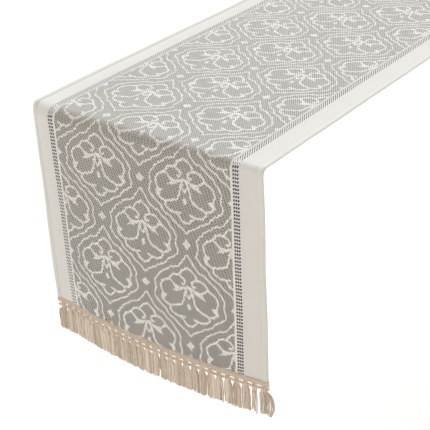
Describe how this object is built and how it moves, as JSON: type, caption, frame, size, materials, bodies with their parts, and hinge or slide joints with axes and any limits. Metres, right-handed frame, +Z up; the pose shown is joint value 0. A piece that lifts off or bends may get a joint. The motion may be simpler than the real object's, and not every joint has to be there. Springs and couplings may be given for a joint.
{
  "type": "table runner",
  "caption": "Long narrow damask table runner with plain borders and tied tassel fringes, draped flat over a table top with both ends hanging down.",
  "frame": {"origin": "middle of the underside of the part that lies on the table top", "axes": "+Z up, out of the table top; +Y along the runner towards its rear end; +X across it, to the right as seen from the front end"},
  "size_m": [0.33, 1.2242, 0.313],
  "materials": {
    "jacquard_ground": "matt grey-taupe twill ground of a woven jacquard",
    "figure_yarn": "raised cream floats that draw the damask figure and the pinstripes",
    "stripe_yarn": "charcoal diagonal dashes on white, a narrow stripe beside the field",
    "border_cloth": "plain ivory weave of the two long borders, soft and matt",
    "fringe_yarn": "soft twisted natural cotton yarn, tan-beige",
    "sewing_thread": "ivory polyester sewing thread"
  },
  "bodies": {
    "root": {"face_cloth_top": "jacquard_ground"},
    "front_drop": {"face_cloth_front_drop": "jacquard_ground", "front_fringe_header": "fringe_yarn"},
    "rear_drop": {"face_cloth_rear_drop": "jacquard_ground", "rear_fringe_header": "fringe_yarn"},
    "front_fringe": {"front_tassel_01": "fringe_yarn", "front_tassel_02": "fringe_yarn", "front_tassel_03": "fringe_yarn", "front_tassel_04": "fringe_yarn", "front_tassel_05": "fringe_yarn", "front_tassel_06": "fringe_yarn", "front_tassel_07": "fringe_yarn", "front_tassel_08": "fringe_yarn", "front_tassel_09": "fringe_yarn", "front_tassel_10": "fringe_yarn", "front_tassel_11": "fringe_yarn", "front_tassel_12": "fringe_yarn", "front_tassel_13": "fringe_yarn", "front_tassel_14": "fringe_yarn", "front_tassel_15": "fringe_yarn", "front_tassel_16": "fringe_yarn", "front_tassel_17": "fringe_yarn", "front_tassel_18": "fringe_yarn", "front_tassel_19": "fringe_yarn", "front_tassel_20": "fringe_yarn", "front_tassel_21": "fringe_yarn", "front_tassel_22": "fringe_yarn", "front_tassel_23": "fringe_yarn", "front_tassel_24": "fringe_yarn", "front_tassel_25": "fringe_yarn", "front_tassel_26": "fringe_yarn", "front_tassel_27": "fringe_yarn", "front_tassel_28": "fringe_yarn"},
    "rear_fringe": {"rear_tassel_01": "fringe_yarn", "rear_tassel_02": "fringe_yarn", "rear_tassel_03": "fringe_yarn", "rear_tassel_04": "fringe_yarn", "rear_tassel_05": "fringe_yarn", "rear_tassel_06": "fringe_yarn", "rear_tassel_07": "fringe_yarn", "rear_tassel_08": "fringe_yarn", "rear_tassel_09": "fringe_yarn", "rear_tassel_10": "fringe_yarn", "rear_tassel_11": "fringe_yarn", "rear_tassel_12": "fringe_yarn", "rear_tassel_13": "fringe_yarn", "rear_tassel_14": "fringe_yarn", "rear_tassel_15": "fringe_yarn", "rear_tassel_16": "fringe_yarn", "rear_tassel_17": "fringe_yarn", "rear_tassel_18": "fringe_yarn", "rear_tassel_19": "fringe_yarn", "rear_tassel_20": "fringe_yarn", "rear_tassel_21": "fringe_yarn", "rear_tassel_22": "fringe_yarn", "rear_tassel_23": "fringe_yarn", "rear_tassel_24": "fringe_yarn", "rear_tassel_25": "fringe_yarn", "rear_tassel_26": "fringe_yarn", "rear_tassel_27": "fringe_yarn"}
  },
  "joints": [
    {"name": "front_fold", "type": "hinge", "parent": "root", "child": "front_drop", "pos_m": [0, -0.6106, 0.0006], "axis": [-1, 0, 0], "range_deg": [-10, 90]},
    {"name": "rear_fold", "type": "hinge", "parent": "root", "child": "rear_drop", "pos_m": [0, 0.6106, 0.0006], "axis": [1, 0, 0], "range_deg": [-10, 90]},
    {"name": "front_fringe_swing", "type": "hinge", "parent": "front_drop", "child": "front_fringe", "pos_m": [0, -0.6106, -0.2795], "axis": [-1, 0, 0], "range_deg": [-90, 60]},
    {"name": "rear_fringe_swing", "type": "hinge", "parent": "rear_drop", "child": "rear_fringe", "pos_m": [0, 0.6106, -0.2795], "axis": [1, 0, 0], "range_deg": [-90, 60]}
  ]
}
